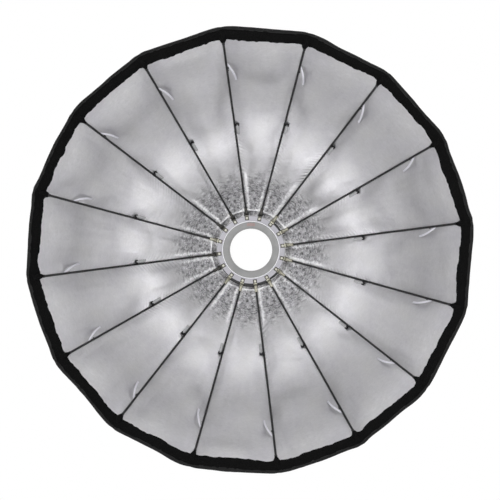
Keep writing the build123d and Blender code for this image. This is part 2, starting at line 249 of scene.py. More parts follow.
# ---- materials -------------------------------------------------------------------------------------------------------
class Nodes:
    """Short names for building one material."""

    def __init__(self, name, **sockets):
        self.mat = bpy.data.materials.new(name)
        self.mat.use_nodes = True
        self.t = self.mat.node_tree
        self.b = self.t.nodes["Principled BSDF"]
        for k, v in sockets.items():
            self.b.inputs[k.replace("_", " ")].default_value = v

    def n(self, kind, **kw):
        node = self.t.nodes.new(kind)
        for k, v in kw.items():
            if k.startswith("i_"):
                key = k[2:]
                node.inputs[int(key) if key.isdigit() else key.replace("_", " ")].default_value = v
            else:
                setattr(node, k, v)
        return node

    def l(self, a, b):
        self.t.links.new(a, b)

    def coords(self, uv=True, scale=(1, 1, 1), rot=(0, 0, 0), obj=False):
        m = self.n("ShaderNodeMapping")
        m.inputs["Scale"].default_value = scale
        m.inputs["Rotation"].default_value = rot
        if uv:
            self.l(self.n("ShaderNodeUVMap", uv_map="cloth").outputs[0], m.inputs[0])
        else:
            self.l(self.n("ShaderNodeTexCoord").outputs["Object"], m.inputs[0])
        return m.outputs[0]

    def noise(self, vec, scale, detail=3.0, rough=0.55, distort=0.0):
        t = self.n("ShaderNodeTexNoise")
        t.inputs["Distortion"].default_value = distort
        t.inputs["Scale"].default_value = scale
        t.inputs["Detail"].default_value = detail
        t.inputs["Roughness"].default_value = rough
        self.l(vec, t.inputs["Vector"])
        return t.outputs["Fac"]

    def math(self, op, a, b=None, clamp=False):
        m = self.n("ShaderNodeMath", operation=op, use_clamp=clamp)
        for i, x in enumerate((a, b)):
            if x is None:
                continue
            if isinstance(x, (int, float)):
                m.inputs[i].default_value = x
            else:
                self.l(x, m.inputs[i])
        return m.outputs[0]

    def remap(self, v, a, b, c, d, smooth=False):
        m = self.n("ShaderNodeMapRange", interpolation_type="SMOOTHSTEP" if smooth else "LINEAR")
        for i, x in enumerate((a, b, c, d)):
            m.inputs[i + 1].default_value = x
        self.l(v, m.inputs[0])
        return m.outputs[0]

    def ramp(self, v, stops):
        r = self.n("ShaderNodeValToRGB")
        e = r.color_ramp.elements
        while len(e) < len(stops):
            e.new(0.5)
        for i, (p, c) in enumerate(stops):
            e[i].position = p
            e[i].color = (*c, 1) if len(c) == 3 else c
        self.l(v, r.inputs[0])
        return r.outputs[0]

    def wave(self, vec, scale, direction="X", profile="SIN", distort=0.0):
        w = self.n("ShaderNodeTexWave", bands_direction=direction, wave_profile=profile)
        w.inputs["Scale"].default_value = scale
        w.inputs["Distortion"].default_value = distort
        self.l(vec, w.inputs["Vector"])
        return w.outputs["Fac"]

    def bump(self, height, strength, distance, before=None):
        b = self.n("ShaderNodeBump")
        b.inputs["Strength"].default_value = strength
        b.inputs["Distance"].default_value = distance
        self.l(height, b.inputs["Height"])
        if before is not None:
            self.l(before, b.inputs["Normal"])
        self.l(b.outputs[0], self.b.inputs["Normal"])
        return b.outputs[0]

    def color(self, out):
        self.l(out, self.b.inputs["Base Color"])

    def rough(self, out):
        self.l(out, self.b.inputs["Roughness"])


def silver_cloth():
    m = Nodes("silver_cloth", Metallic=0.93)
    uv = m.coords()
    share = m.n("ShaderNodeSeparateXYZ")
    m.l(m.n("ShaderNodeUVMap", uv_map="share").outputs[0], share.inputs[0])
    v, s = share.outputs[0], share.outputs[1]
    # base colour by distance from the hub, tuned ring by ring until the cloth was as bright as it should look here:
    # it is painted light and shade as well as the foil's colour, so it is not a measured cloth colour
    painted_light_by_radius = m.ramp(s, PAINTED_LIGHT_RAMP)
    # painted highlight: the middle of each gore is made brighter than its sides from about 0.13 to 0.33 m out
    mid = m.math("SUBTRACT", 1.0, m.math("POWER", m.math("ABSOLUTE", m.math("MULTIPLY", m.math("SUBTRACT", v, 0.5), 2.0)), 2.2))
    zone = m.math("MULTIPLY", m.remap(s, 0.13, 0.20, 0.0, 1.0, True), m.remap(s, 0.21, 0.33, 1.0, 0.0, True))
    lift = m.math("ADD", 0.95, m.math("MULTIPLY", m.math("MULTIPLY", mid, zone), 0.10))
    # painted light: the cloth close to the ribs is made brighter, from about 0.03 to 0.42 m out
    beside = m.math("POWER", m.math("ABSOLUTE", m.math("MULTIPLY", m.math("SUBTRACT", v, 0.5), 2.0)), 4.5)
    ribzone = m.math("MULTIPLY", m.remap(s, 0.03, 0.08, 0.0, 1.0, True), m.remap(s, 0.20, 0.42, 1.0, 0.0, True))
    beside = m.math("MULTIPLY", m.math("MULTIPLY", beside, ribzone), 0.26)
    lift = m.math("ADD", lift, beside)
    # painted shade near the hub: the middle of each gore is darker and its sides by the ribs brighter; this takes over
    # from the lines above within about 0.1 to 0.18 m of the hub edge
    hubside = m.math("ADD", m.math("SUBTRACT", 1.17, m.math("MULTIPLY", mid, 0.34)), beside)
    near_hub = m.remap(s, 0.095, 0.175, 1.0, 0.0, True)
    mixf = m.n("ShaderNodeMix", data_type="FLOAT")
    m.l(near_hub, mixf.inputs[0])
    m.l(lift, mixf.inputs[2])
    m.l(hubside, mixf.inputs[3])
    cloud = m.noise(m.coords(scale=(1, 0.55, 1)), 13.0, 3.0)
    tint = m.ramp(cloud, [(0.28, (0.925, 0.915, 0.955)), (0.50, (0.975, 0.97, 0.985)), (0.74, (1.0, 0.995, 0.985))])
    mul = m.n("ShaderNodeMix", data_type="RGBA", blend_type="MULTIPLY")
    mul.inputs[0].default_value = 1.0
    m.l(painted_light_by_radius, mul.inputs[6])
    m.l(tint, mul.inputs[7])
    mul2 = m.n("ShaderNodeMix", data_type="RGBA", blend_type="MULTIPLY")
    mul2.inputs[0].default_value = 1.0
    m.l(mul.outputs[2], mul2.inputs[6])
    comb = m.n("ShaderNodeCombineXYZ")
    for i in range(3):
        m.l(mixf.outputs[0], comb.inputs[i])
    m.l(comb.outputs[0], mul2.inputs[7])
    # foil grain: dark and bright specks, strong near the hub
    # the crinkled patch reaches furthest out in the middle of the gore, with an uneven edge
    uneven = m.math("MULTIPLY", m.math("SUBTRACT", m.noise(m.coords(scale=(1, 0.8, 1)), 34.0, 2.0), 0.5), 0.085)
    reach = m.math("ADD", m.math("ADD", s, uneven), m.math("SUBTRACT", 0.022, m.math("MULTIPLY", mid, 0.028)))
    near = m.remap(reach, 0.052, 0.128, 1.0, 0.06, True)
    speck = m.noise(m.coords(scale=(0.75, 1.0, 1)), 150.0, 4.0, 0.75, 1.2)
    blot = m.noise(m.coords(scale=(1.0, 0.55, 1)), 46.0, 3.0, 0.6, 0.6)
    both = m.math("ADD", m.math("MULTIPLY", m.math("SUBTRACT", speck, 0.5), 5.2), m.math("MULTIPLY", m.math("SUBTRACT", blot, 0.5), 1.9))
    grain = m.math("MAXIMUM", m.math("ADD", 1.0, m.math("MULTIPLY", both, near)), 0.25)
    # painted highlight: on the folds beside the ribs and on the top of the turned-up hem the base colour is made up to
    # about three times brighter and less metallic, where the real cloth catches the light
    painted_fold_highlight = m.n("ShaderNodeSeparateXYZ")
    m.l(m.n("ShaderNodeUVMap", uv_map="painted_fold_highlight").outputs[0], painted_fold_highlight.inputs[0])
    patchy = m.remap(m.noise(m.coords(scale=(1.0, 0.3, 1)), 90.0, 3.0, 0.6), 0.30, 0.52, 0.35, 1.0)
    grain = m.math("ADD", grain, m.math("MULTIPLY", m.math("MULTIPLY", painted_fold_highlight.outputs[0], patchy), 1.9))
    gcomb = m.n("ShaderNodeCombineXYZ")
    for i in range(3):
        m.l(grain, gcomb.inputs[i])
    mul3 = m.n("ShaderNodeMix", data_type="RGBA", blend_type="MULTIPLY", clamp_result=True)
    mul3.inputs[0].default_value = 1.0
    m.l(mul2.outputs[2], mul3.inputs[6])
    m.l(gcomb.outputs[0], mul3.inputs[7])
    m.color(mul3.outputs[2])
    m.l(m.math("SUBTRACT", 0.93, m.math("MULTIPLY", m.math("MULTIPLY", painted_fold_highlight.outputs[0], patchy), 0.93, True)), m.b.inputs["Metallic"])
    m.rough(m.remap(m.noise(uv, 60.0, 4.0), 0.3, 0.7, 0.38, 0.48))
    # weave of two fine sets of threads, foil crinkle, and soft creases along the gore
    weave = m.math("MULTIPLY", m.wave(uv, 160.0, "X"), m.wave(uv, 160.0, "Y"))
    b1 = m.bump(weave, 0.25, 0.0002)
    crinkle = m.noise(m.coords(scale=(1.0, 0.6, 1)), 210.0, 4.0, 0.7)
    b2 = m.bump(m.math("MULTIPLY", crinkle, near), 1.0, 0.0040, b1)
    soft = m.noise(m.coords(scale=(1.0, 0.35, 1)), 42.0, 3.0, 0.5)
    m.bump(soft, 0.6, 0.0016, b2)
    return m.mat


def black_nylon():
    m = Nodes("black_nylon", Roughness=0.6, Specular_IOR_Level=0.25, Sheen_Weight=0.03, Sheen_Roughness=0.5)
    uv = m.coords()
    m.color(m.ramp(m.noise(uv, 22.0, 4.0), [(0.3, (0.007, 0.007, 0.008)), (0.7, (0.013, 0.013, 0.014))]))
    m.rough(m.remap(m.noise(uv, 90.0, 3.0), 0.3, 0.7, 0.5, 0.68))
    weave = m.math("MULTIPLY", m.wave(uv, 260.0, "X"), m.wave(uv, 260.0, "Y"))
    b1 = m.bump(weave, 0.5, 0.0003)
    m.bump(m.noise(m.coords(scale=(1, 0.5, 1)), 70.0, 4.0, 0.6), 0.5, 0.0010, b1)
    return m.mat


def loop_tape():
    m = Nodes("loop_tape", Roughness=0.95, Specular_IOR_Level=0.06)
    uv = m.coords()
    m.color(m.ramp(m.noise(uv, 420.0, 4.0, 0.7), [(0.36, (0.0010, 0.0010, 0.0010)), (0.70, (0.0130, 0.0130, 0.0130))]))
    b1 = m.bump(m.noise(uv, 900.0, 5.0, 0.7), 0.9, 0.0008)
    m.bump(m.noise(uv, 120.0, 3.0), 0.5, 0.0010, b1)
    return m.mat


def binding_tape():
    m = Nodes("binding_tape", Roughness=0.75, Specular_IOR_Level=0.2, Sheen_Weight=0.03)
    uv = m.coords()
    m.color(m.ramp(m.noise(uv, 80.0, 3.0), [(0.3, (0.010, 0.010, 0.010)), (0.7, (0.018, 0.018, 0.018))]))
    b1 = m.bump(m.wave(uv, 300.0, "Y"), 0.6, 0.0004)
    m.bump(m.wave(uv, 420.0, "X"), 0.4, 0.0003, b1)
    return m.mat


def elastic(name, c0, c1):
    m = Nodes(name, Roughness=0.8, Specular_IOR_Level=0.25, Sheen_Weight=0.04)
    uv = m.coords()
    m.color(m.ramp(m.noise(uv, 300.0, 3.0), [(0.3, c0), (0.7, c1)]))
    b1 = m.bump(m.wave(uv, 420.0, "Y"), 0.7, 0.0004)
    m.bump(m.wave(uv, 700.0, "X"), 0.5, 0.0003, b1)
    return m.mat


def metal(name, c0, c1, rough=(0.3, 0.45), metallic=1.0, grain=(0, 0, 0), coat=0.0, bump=0.15, scale=60.0):
    m = Nodes(name, Metallic=metallic, Coat_Weight=coat)
    o = m.coords(uv=False)
    m.color(m.ramp(m.noise(o, scale, 4.0), [(0.3, c0), (0.7, c1)]))
    m.rough(m.remap(m.noise(o, scale * 4, 4.0, 0.65), 0.3, 0.7, rough[0], rough[1]))
    m.bump(m.noise(o, scale * 20, 3.0, 0.6), bump, 0.0003)
    return m.mat


def turned(name, c0, c1, rough, metallic=1.0, rings=900.0):
    """Lathe-turned metal or paint: fine rings about the part's axis."""
    m = Nodes(name, Metallic=metallic)
    o = m.coords(uv=False)
    sep = m.n("ShaderNodeSeparateXYZ")
    m.l(o, sep.inputs[0])
    comb = m.n("ShaderNodeCombineXYZ")
    m.l(sep.outputs[0], comb.inputs[0])
    m.l(sep.outputs[2], comb.inputs[1])
    ln = m.n("ShaderNodeVectorMath", operation="LENGTH")
    m.l(comb.outputs[0], ln.inputs[0])
    r = ln.outputs["Value"]
    rv = m.n("ShaderNodeCombineXYZ")
    m.l(m.math("MULTIPLY", r, rings), rv.inputs[0])
    m.l(m.math("MULTIPLY", sep.outputs[1], rings), rv.inputs[1])
    fine = m.noise(rv.outputs[0], 1.0, 3.0)
    m.color(m.ramp(m.noise(o, 40.0, 4.0), [(0.3, c0), (0.7, c1)]))
    m.rough(m.remap(fine, 0.25, 0.75, rough[0], rough[1]))
    m.bump(fine, 0.18, 0.0002)
    return m.mat


SILVER, NYLON, LOOPT, BIND = silver_cloth(), black_nylon(), loop_tape(), binding_tape()
WHITE_EL = elastic("white_elastic", (0.82, 0.81, 0.88), (0.93, 0.92, 0.98))
GREY_STRAP = elastic("grey_strap", (0.50, 0.50, 0.51), (0.64, 0.64, 0.65))
BLACK_EL = elastic("black_elastic", (0.006, 0.006, 0.007), (0.016, 0.016, 0.017))
THREAD = elastic("black_thread", (0.012, 0.012, 0.012), (0.03, 0.03, 0.03))
INSERT = turned("insert_grey_paint", (0.232, 0.234, 0.230), (0.292, 0.292, 0.290), (0.45, 0.60), 0.25)
ALU = turned("satin_aluminium_turned", (0.36, 0.355, 0.385), (0.43, 0.42, 0.455), (0.48, 0.62), 0.45)
ZINC = metal("zinc_passivated", (0.30, 0.29, 0.22), (0.62, 0.60, 0.50), (0.24, 0.40), 1.0, bump=0.3, scale=220.0)
# painted shade: a darkened copy of the zinc, for the six levers on the upper and left side of the hub
SHADED_ZINC_LEVER = metal("lever_zinc_painted_shade", (0.020, 0.020, 0.019), (0.16, 0.155, 0.14), (0.26, 0.42), 1.0, bump=0.3, scale=180.0)
OLIVE = metal("catch_steel_olive", (0.035, 0.034, 0.022), (0.085, 0.082, 0.058), (0.40, 0.55), 0.6, bump=0.3, scale=220.0)
CREAM = metal("catch_pad_cream", (0.56, 0.55, 0.47), (0.68, 0.67, 0.59), (0.40, 0.55), 0.0, bump=0.2, scale=180.0)
STEEL = metal("screw_steel_worn", (0.45, 0.45, 0.46), (0.62, 0.62, 0.63), (0.25, 0.42), 1.0, scale=200.0)
BLACKM = metal("black_powder_coat", (0.010, 0.010, 0.011), (0.022, 0.022, 0.023), (0.42, 0.60), 0.1, bump=0.5, scale=120.0)
RODM = metal("rod_black_lacquer", (0.003, 0.003, 0.003), (0.010, 0.010, 0.010), (0.30, 0.42), 0.1, coat=0.05, scale=80.0)
RED = metal("index_red_paint", (0.30, 0.215, 0.205), (0.35, 0.25, 0.24), (0.5, 0.65), 0.0, scale=150.0)

LOOKS = {"mount_ring": INSERT, "retaining_ring": INSERT, "index_mark": RED, "hub_ring": BLACKM, "hub_face_plate": ALU,
         "rib_pivot_pins": STEEL, "rib_catch_springs": OLIVE, "collar_clamp_ring": BLACKM, "clamp_ring_screws": STEEL,
         "rotation_lock_screw": BLACKM}
for name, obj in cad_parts.items():
    # the six levers listed get the darkened zinc copy, painted shade; the other ten get plain zinc
    look = LOOKS.get(name) or ((SHADED_ZINC_LEVER if int(name[-2:]) - 1 in (3, 4, 5, 6, 8, 9) else ZINC) if name.startswith("rib_lever") else RODM if name.startswith("rib_rod") else None)
    if look is not None:
        obj.data.materials.clear()
        obj.data.materials.append(look)


# ---- the cloth's shape ------------------------------------------------------------------------------------------------
def chord(s):
    return 2 * prof(s)[0] * math.sin(HALF)


def drape(k, s, v):
    """How far the skin stands off the flat chord, towards the inside: tension sag, seam ridges, puckers and creases."""
    c = chord(s)
    e0, e1 = v * c, (1 - v) * c
    e = np.minimum(e0, e1)
    t = s / S_END
    sag = (0.0050 * np.sin(np.pi * np.clip(t, 0, 1) ** 0.8) - 0.0012 * smooth((t - 0.86) / 0.14)) * 4 * v * (1 - v)
    ridge = 0.0012 * np.exp(-((e / 0.0024) ** 2))
    free = smooth(e / 0.012)
    broad = 0.0030 * noise(v * 2.2 + 7 * k, s * 13.0, 11 + k) * smooth(e / 0.03) * smooth(s / 0.12)
    creases = 0.0010 * noise(e0 * 130.0 - s * 8.0, s * 15.0 + 3 * k, 31 + k) * free * (0.25 + smooth(1 - (s - 0.04) / 0.12))
    gather = 0.0005 * noise(v * 20 + 3.7 * k, s * 9.0, 51 + k) * free * smooth(1 - s / 0.10)
    env = smooth((s - 0.06) / 0.06) * smooth((0.30 - s) / 0.10) + 0.25
    puck = np.zeros_like(s * v)
    for ee, rib in ((e0, k), (e1, k + 1)):
        rib %= N
        tug = 0.55 + 0.45 * float(noise(rib * 1.9, 3.0 if rib == k else 8.0, 7))
        puck = puck + 0.00105 * tug * np.sin(2 * np.pi * (s + 0.5 * ee) / 0.0100 + 1.7 * rib + 2.0 * noise(s * 30.0, rib * 3.1, 5)) * np.exp(-ee / 0.0085) * env * smooth(ee / 0.0015)
    return sag + ridge + broad + creases + gather + puck + 0.0022 * folds(k, s, v)


# how strongly the cloth is folded up beside each rib near the hub, which also sets the strength of the painted
# highlight on the fold: at the gore's first rib, and at its second
FOLD = [(0.10, 0.15), (0.90, 0.15), (1.00, 0.55), (0.55, 0.90), (0.25, 0.10), (0.15, 0.90), (0.10, 0.65), (0.20, 0.80), (0.65, 0.80), (0.15, 0.30),
        (0.85, 0.80), (0.10, 0.20), (0.75, 0.20), (0.60, 0.45), (0.40, 0.15), (0.85, 0.50)]
# height of the turned-up inner hem of each gore, as a share; it also scales the painted highlight on the hem
HEM = [0.25, 1.0, 1.0, 1.0, 1.0, 1.0, 0.3, 1.0, 1.0, 0.35, 0.8, 1.0, 0.9, 0.7, 0.25, 0.25]


def folds(k, s, v):
    """The folded strips beside the two ribs of gore k, from 0 to 1."""
    c = chord(s)
    out = 0 * s
    for e, amp, seed in ((v * c, FOLD[k][0], 3), ((1 - v) * c, FOLD[k][1], 4)):
        far = 0.070 + 0.055 * amp + 0.015 * noise(k * 3.3, seed, 9)
        along = smooth((s - 0.004) / 0.010) * smooth((far - s) / 0.045)
        wave = 0.0008 * noise(s * 45.0, k * 2.7 + seed, 23)
        width = 0.0024 + 0.0024 * amp * smooth(s / 0.06)
        out = out + amp * along * np.exp(-(((e - 0.0042 - width - wave) / width) ** 2)) * (0.75 + 0.25 * noise(s * 120.0, k + seed, 29))
    return out


def turned_hem(k, s, v):
    """The inner hem: turned up towards the inside, with a flat top."""
    rise = smooth((s - 0.0050) / 0.0016) * np.clip(1 - (s - 0.0066) / 0.0052, 0, 1)
    ends = smooth(np.minimum(v, 1 - v) / 0.10)
    shift = 0.5 + 0.5 * noise(v * 3.0 + 4 * k, 0.7, 41)
    return 0.0026 * HEM[k] * rise * (0.45 + 0.55 * ends) * (0.7 + 0.3 * shift)


def loop_dent(k, s, v, s_loop):
    """A small shallow dimple where the tie loop is sewn on, near rib k+1."""
    c = chord(s)
    d2 = ((s - s_loop) / 0.016) ** 2 + (((1 - v) * c - 0.013) / 0.012) ** 2
    return -0.0016 * np.exp(-d2)


def on_skin(k, s, side, lift, least=None):
    """Points beside rib k, lifted off the drawn skin; side below 0 is the gore before the rib. With least, lift counts from the flat chord."""
    c = chord(s)
    share = np.clip(np.abs(side) / c, 0, 0.5)
    out = []
    for gore, v in (((k - 1) % N, 1 - share), (k, share)):
        skin = drape(gore, s, v) + 0.00055
        out.append(on_gore(gore, s, v, skin + lift if least is None else np.maximum(lift, skin + least)))
    return np.where((np.asarray(side) <= 0)[..., None], out[0], out[1])


# per-rib places of the rod keepers and tie loops, as radii of the rod's axis (they were sewn by hand and vary a little)
KEEPER = [0.2556, 0.2726, 0.2930, 0.2893, 0.2815, 0.2736, 0.2746, 0.2686, 0.2596, 0.2536, 0.2444, 0.2444, 0.2382, 0.2485, 0.2766, 0.2646]
LOOP = [0.378, 0.381, 0.375, 0.384, 0.380, 0.377, 0.383, 0.372, 0.379, 0.376, 0.382, 0.374, 0.380, 0.378, 0.373, 0.381]

nv = 39
s_grid = np.concatenate([np.linspace(0, 0.013, 22, endpoint=False), np.linspace(0.013, 0.42, 255, endpoint=False), np.linspace(0.42, S_TIP + 0.016, 50)])
v_lin = np.linspace(0, 1, nv)
v_grid = 0.5 - 0.5 * np.sign(1 - 2 * v_lin) * np.abs(1 - 2 * v_lin) ** 0.78   # finer near the ribs
for k in range(N):
    nm = f"{k + 1:02d}"
    S, V = np.meshgrid(s_grid, v_grid, indexing="ij")
    s_loop = s_of(LOOP[(k + 1) % N])
    h = drape(k, S, V) + loop_dent(k, S, V, s_loop)
    hem = turned_hem(k, S, V)
    uv = np.stack([(V - 0.5) * chord(S), S], -1)
    # the second extra UV layer is the mask of painted highlight on the folds beside the ribs and on the top of the
    # turned-up hem
    silver = shell(f"gore_silver_{nm}", on_gore(k, S, V, h + hem + 0.00055), on_gore(k, S, V, h + hem * 0.6 + 0.00010), [SILVER], uv,
                   uv2={"share": np.stack([V, S], -1), "painted_fold_highlight": np.stack([np.clip(folds(k, S, V) + 0.9 * turned_hem(k, S, V) / 0.0026, 0, 1), 0 * S], -1)})
    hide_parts(f"gore_panel_{nm}")
    follow_gore(silver)
    area = 0.0
    cs = chord(s_grid)
    area = float(np.sum((cs[1:] + cs[:-1]) / 2 * np.diff(s_grid)))

    # outer black nylon: follows the silver, with its own slack between the ribs
    So, Vo = np.meshgrid(np.linspace(0.0, S_END - 0.001, 120), np.linspace(0, 1, 25), indexing="ij")
    co = chord(So)
    eo = np.minimum(Vo, 1 - Vo) * co
    ho = drape(k, So, Vo) - 0.0006 * (1 + noise(Vo * 5 + 2 * k, So * 22, 77 + k)) * smooth(eo / 0.02) - 0.0010 * smooth(eo / 0.01)
    uvo = np.stack([(Vo - 0.5) * co, So], -1)
    outer = shell(f"gore_black_{nm}", on_gore(k, So, Vo, ho - 0.00015), on_gore(k, So, Vo, ho - 0.00065), [NYLON], uvo)
    follow_gore(outer)

    # hook-and-loop band inside the rim, with a slightly ragged inner edge, wider at the ribs
    nb = 121
    vb = np.linspace(0, 1, nb)
    cb = float(chord(S_TIP))
    xb = vb * cb
    eb = np.minimum(xb, cb - xb)
    rag = (0.0036 * noise(xb * 52 + 31 * k, 0.5, 3) + 0.0019 * noise(xb * 170 + 17 * k, 0.5, 4)) * smooth(eb / 0.004)
    start = S_TIP + 0.0040 + rag - 0.0052 * np.exp(-((eb / 0.009) ** 2)) + 0.0010 * np.sin(np.pi * vb)
    tb = np.concatenate([[0, 0.012, 0.03, 0.06], np.linspace(0.1, 1.0, 22)])
    Sb = start[None] + (S_END - 0.0045 - start[None]) * tb[:, None]
    Vb = np.broadcast_to(vb[None], Sb.shape)
    e_b = np.minimum(Vb, 1 - Vb) * chord(Sb)
    base = drape(k, Sb, Vb)
    puff = 0.0011 + 0.0004 * noise(Vb * 26 + 5 * k, Sb * 120, 91 + k) * smooth(e_b / 0.004)
    edge_in = smooth(tb / 0.05)[:, None]
    stitch = -0.0006 * (np.exp(-(((Sb - S_END + 0.0075) / 0.0008) ** 2)))
    top = on_gore(k, Sb, Vb, base + 0.0007 + puff * edge_in + stitch)
    bot = on_gore(k, Sb, Vb, base + 0.00062 + 0 * Sb)
    band = shell(f"rim_band_{nm}", top, bot, [LOOPT], np.stack([(Vb - 0.5) * chord(Sb), Sb], -1))
    follow_gore(band)

    # edge binding: a folded tape over the front edge
    nb2 = 61
    vb2 = np.linspace(0, 1, nb2)
    prof_pts = []                                # a flattened oval around the edge
    for a in np.linspace(0, 2 * math.pi, 20, endpoint=False):
        prof_pts.append((0.0040 * math.cos(a), 0.0017 * math.sin(a) * (1 + 0.25 * math.cos(a))))
    rows = []
    for ds, dl in prof_pts:
        wob = 0.0005 * noise(vb2 * 9 + 4 * k, 0.3, 8)
        sb = np.full(nb2, S_END - 0.0045 + ds)
        rows.append(on_gore(k, sb, vb2, drape(k, sb, vb2) + 0.0003 + dl + wob * np.sin(np.pi * vb2)))
    P = np.stack(rows)                           # around x across
    na = len(prof_pts)
    verts = list(P.transpose(1, 0, 2).reshape(-1, 3))
    faces = [(i * na + j, i * na + (j + 1) % na, (i + 1) * na + (j + 1) % na, (i + 1) * na + j) for i in range(nb2 - 1) for j in range(na)]
    c0, c1 = len(verts), len(verts) + 1
    verts += [P[:, 0].mean(0), P[:, -1].mean(0)]
    faces += [(c0, (j + 1) % na, j) for j in range(na)] + [(c1, (nb2 - 1) * na + j, (nb2 - 1) * na + (j + 1) % na) for j in range(na)]
    uvb = [((i / na) * 0.018, x * cb) for x in vb2 for i in range(na)] + [(0, 0), (0, cb)]
    bind = make(f"edge_binding_{nm}", verts, faces, [BIND], uvb)
    follow_gore(bind)

    # black seam tape on the outside, along rib k
    ss = np.linspace(0.004, S_END - 0.008, 150)
    w_t = np.linspace(-0.0055, 0.0055, 9)
    SS, WW = np.meshgrid(ss, w_t, indexing="ij")
    lift0 = -0.0022 - 0.0007 * (1 - (WW / 0.0055) ** 2) + np.abs(WW) * math.sin(HALF) * -0.0
    ridge_o = 0.0012 * np.exp(-((WW / 0.0024) ** 2))
    pts_t = on_rib(k, SS, lift0 + 0.35 * ridge_o, WW)
    # the skin falls away to each side of the rib line
    pts_t[..., 0] -= np.abs(WW) * math.tan(HALF) * np.sin(prof(SS)[2]) * math.cos(rib_az(k)) * 0.8
    pts_t[..., 2] -= np.abs(WW) * math.tan(HALF) * np.sin(prof(SS)[2]) * math.sin(rib_az(k)) * 0.8
    low_t = pts_t + (on_rib(k, SS, 0 * SS, WW) - on_rib(k, SS, 0 * SS + 0.0008, WW)) * -1.0
    tape = shell(f"seam_tape_{nm}", low_t, pts_t, [BIND], np.stack([WW, SS], -1))
    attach(tape, f"rib_{nm}")

    # pocket that takes the rod's tip, sewn over the band
    sp = np.linspace(S_TIP - 0.0020, S_TIP + 0.030, 22)
    wp = np.linspace(-0.0068, 0.0068, 17)
    SP, WP = np.meshgrid(sp, wp, indexing="ij")
    across = 1 - np.clip(np.abs(WP) / 0.0068, 0, 1)
    dome = 0.0030 + 0.0056 * smooth(across * 1.6) * smooth((S_TIP + 0.028 - SP) / 0.018)
    dome = dome + 0.0003 * noise(WP * 400 + 9 * k, SP * 300, 61)
    SPw = SP + (0.0042 * noise(WP * 210 + 5 * k, 0.2, 62) + 0.0035 * np.abs(WP) / 0.0068) * (1 - (SP - sp[0]) / (sp[-1] - sp[0])) ** 3
    top_p = on_rib(k, SPw, dome, WP)
    bot_p = on_rib(k, SPw, np.maximum(dome - 0.0011, 0.0019), WP)
    pocket = shell(f"tip_pocket_{nm}", top_p, bot_p, [LOOPT], np.stack([WP, SPw], -1))
    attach(pocket, f"rib_{nm}")

    # rod keeper: a grey strap beside the next rib with a black end that crosses the rod
    kk = (k + 1) % N
    nk = f"{kk + 1:02d}"
    s_out = s_of(KEEPER[kk]) - 0.003
    L = 0.0300
    sk = np.linspace(s_out - L, s_out, 15)
    wk = np.linspace(-0.0096, -0.0026, 11)
    SK, WK = np.meshgrid(sk, wk, indexing="ij")
    arch = 0.0018 + 0.0020 * np.sin(np.pi * (WK + 0.0096) / 0.0070) + 0.0006 * np.sin(np.pi * (SK - sk[0]) / L)
    strap = shell(f"keeper_strap_{nk}", on_skin(kk, SK, WK, arch - 0.0006), on_skin(kk, SK, WK, arch - 0.0013), [GREY_STRAP], np.stack([WK, SK], -1))
    follow_cloth_beside(strap)
    sk = np.linspace(s_out - 0.0024, s_out + 0.0050, 9)
    wk = np.linspace(-0.0106, 0.0026, 19)
    SK, WK = np.meshgrid(sk, wk, indexing="ij")
    over = CLOTH_OFF + ROD_R + 0.0004
    arch = 0.0030 + (over - 0.0030) * np.exp(-((WK / 0.0046) ** 4)) + 0.0006 * np.sin(np.pi * (SK - sk[0]) / 0.0082)
    arch = np.where(WK > 0.0022, arch * 0.86, arch)
    skew = 0.12 * np.clip(-WK, 0, 1)
    endp = shell(f"keeper_end_{nk}", on_skin(kk, SK - skew, WK, arch + 0.0012, 0.0027), on_skin(kk, SK - skew, WK, arch, 0.0015), [BLACK_EL], np.stack([WK, SK], -1))
    follow_cloth_beside(endp)

    # white elastic tie loop: a flat ribbon that bows off the cloth beside the rib
    s1 = s_of(LOOP[kk]) + 0.020
    tt = np.linspace(0, 1, 25)
    q0, q1, q2 = np.array([s1, -0.0024]), np.array([s1 - 0.0130, -0.0190]), np.array([s1 - 0.0520, -0.0172])
    q = ((1 - tt) ** 2)[:, None] * q0 + (2 * tt * (1 - tt))[:, None] * q1 + (tt**2)[:, None] * q2
    rise = 0.0013 + 0.0070 * np.sin(np.pi * tt) ** 0.8
    ctr = on_skin(kk, q[:, 0], q[:, 1], rise)
    upv = on_skin(kk, q[:, 0], q[:, 1], rise + 0.01) - ctr
    ribbon = tube(f"tie_loop_{nk}", ctr, 0.0022, [WHITE_EL], sides=12, flat_y=0.38, up=upv / np.linalg.norm(upv, axis=1)[:, None])
    follow_cloth_beside(ribbon)

